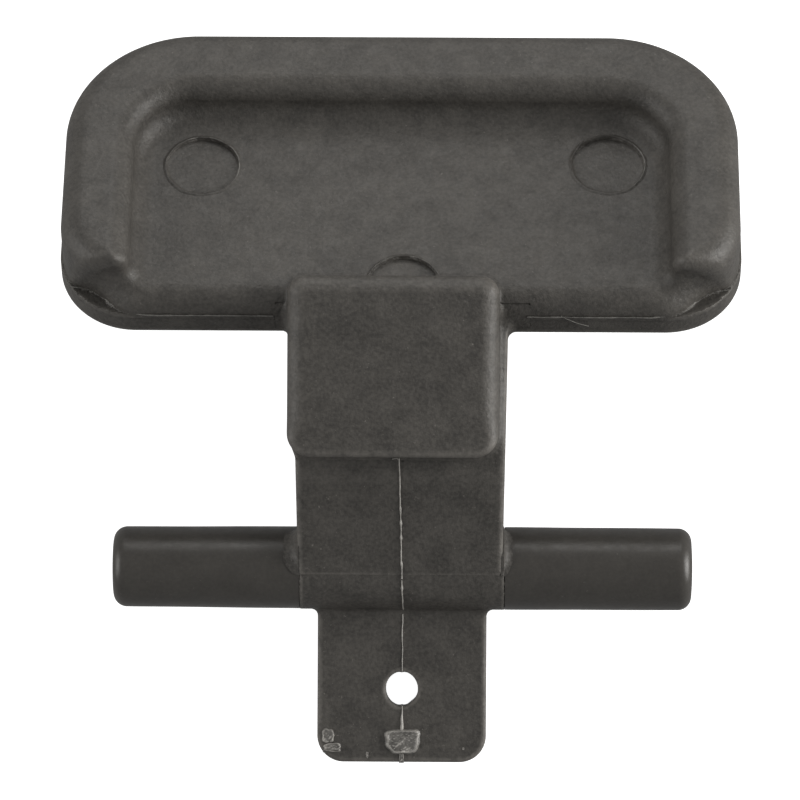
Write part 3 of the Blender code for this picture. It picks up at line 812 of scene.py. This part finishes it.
def area_light(name, place, size, power):
    data = bpy.data.lights.new(name, "AREA")
    data.size = size
    data.energy = power
    data.color = WARM
    obj = bpy.data.objects.new(name, data)
    bpy.context.scene.collection.objects.link(obj)
    obj.location = place
    obj.rotation_mode = "QUATERNION"
    obj.rotation_quaternion = (-Vector(place)).to_track_quat("-Z", "Y")


def studio():
    """A plain white floor that gives no light to the part, under soft area lights."""
    world = bpy.data.worlds.new("studio")
    bpy.context.scene.world = world
    world.use_nodes = True
    world.node_tree.nodes["Background"].inputs["Color"].default_value = (1, 1, 1, 1)
    world.node_tree.nodes["Background"].inputs["Strength"].default_value = WORLD_STRENGTH
    for name, place, size, power in LIGHTS:
        area_light(name, place, size, power)
    corners = [(x * FLOOR_SIZE, y * FLOOR_SIZE, 0) for x, y in ((-1, -1), (1, -1), (1, 1), (-1, 1))]
    mesh = bpy.data.meshes.new("floor")
    mesh.from_pydata(corners, [], [(0, 1, 2, 3)])
    floor = bpy.data.objects.new("floor", mesh)
    bpy.context.scene.collection.objects.link(floor)
    made, nodes, links = new_material("white_floor")
    shader = nodes["Principled BSDF"]
    shader.inputs["Base Color"].default_value = (FLOOR_WHITE, FLOOR_WHITE, FLOOR_WHITE, 1)
    shader.inputs["Roughness"].default_value = 0.9
    shader.inputs["Emission Color"].default_value = (1, 1, 1, 1)
    shader.inputs["Emission Strength"].default_value = FLOOR_EMISSION
    mesh.materials.append(made)
    floor.visible_glossy = False
    floor.visible_diffuse = False
    bpy.context.scene.view_settings.view_transform = "Standard"


camera()
studio()

GREY = (0.0705, 0.0655, 0.0585)
# Each plastic: name, colour, roughness, grain, blotches, specks and pale edges, which are wear and painted
# highlight.
PLASTIC = {
    "grip_plastic": plastic("grip_plastic", GREY, 0.5, 0.8, 0.36, 0.6, 0.3),
    "stem_plastic": plastic("stem_plastic", GREY, 0.52, 0.8, 0.42, 0.9, 0.55),
    "bar_plastic": plastic("bar_plastic", tuple(0.82 * c for c in GREY), 0.36, 0.12, 0.15, 0.3, 0.2),
}
STEEL = metal("rod_steel", (0.55, 0.55, 0.54), 0.3, (0.05, 1, 1))
FLASH = plastic("flash_plastic", (0.19, 0.183, 0.17), 0.5, 0.3, 0.35, 0.5, 0.2)
SEAM = plastic("seam_plastic", (0.36, 0.345, 0.32), 0.45, 0.3, 0.3, 0.5, 0.2)
SCAR = plastic("scar_plastic", (0.165, 0.158, 0.146), 0.42, 0.5, 0.5, 0.8, 0.8)
BRASS = metal("socket_brass", (0.6, 0.43, 0.19), 0.35, (1, 1, 0.1))

# Each moulded piece: CAD node, low and high corner of its box, whether the box is in the grip frame, slot.
GRIP_SIDE, GRIP_END = GRIP_WIDTH / 2 + BOX_MARGIN, GRIP_HEIGHT + BOX_MARGIN
GRIP_REAR = -BACK_DEPTH - BOX_MARGIN
STEM_END = TONGUE_TIP - BOX_MARGIN
BLOCK_LOW_CORNER = (-13.8, BLOCK_LOW - 2.6, 7.4)
BLOCK_HIGH_CORNER = (13.8, BLOCK_HIGH + 3, BLOCK_FRONT + BOX_MARGIN)
PIECES = (
    ("grip_dish", (-GRIP_SIDE, -1, -1.2), (GRIP_SIDE, GRIP_END, CREST + BOX_MARGIN), True, "grip_plastic"),
    ("grip_back", (-GRIP_SIDE, -1, GRIP_REAR), (GRIP_SIDE, GRIP_END, 0.6), True, "grip_plastic"),
    ("front_block", BLOCK_LOW_CORNER, BLOCK_HIGH_CORNER, False, "stem_plastic"),
    ("stem_left", (-14, STEM_END, -8), (0.6, 36, 11), False, "stem_plastic"),
    ("stem_right", (-0.6, STEM_END, -8), (14, 36, 11), False, "stem_plastic"),
)
for node, low, high, in_grip_frame, slot in PIECES:
    piece = moulded(node, low, high, in_grip_frame)
    piece.data.materials.append(PLASTIC[slot])
    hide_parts(node)
    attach(piece, "key")
for node, side in (("bar_arm_left", -1), ("bar_arm_right", 1)):
    piece = arm(node + "_moulding", side)
    piece.data.materials.append(PLASTIC["bar_plastic"])
    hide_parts(node)
    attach(piece, "bar")
details()
for node, finish in (("cross_rod", STEEL), ("socket_insert", BRASS)):
    frame["nodes"][node].data.materials.clear()
    frame["nodes"][node].data.materials.append(finish)

bpy.context.view_layer.update()
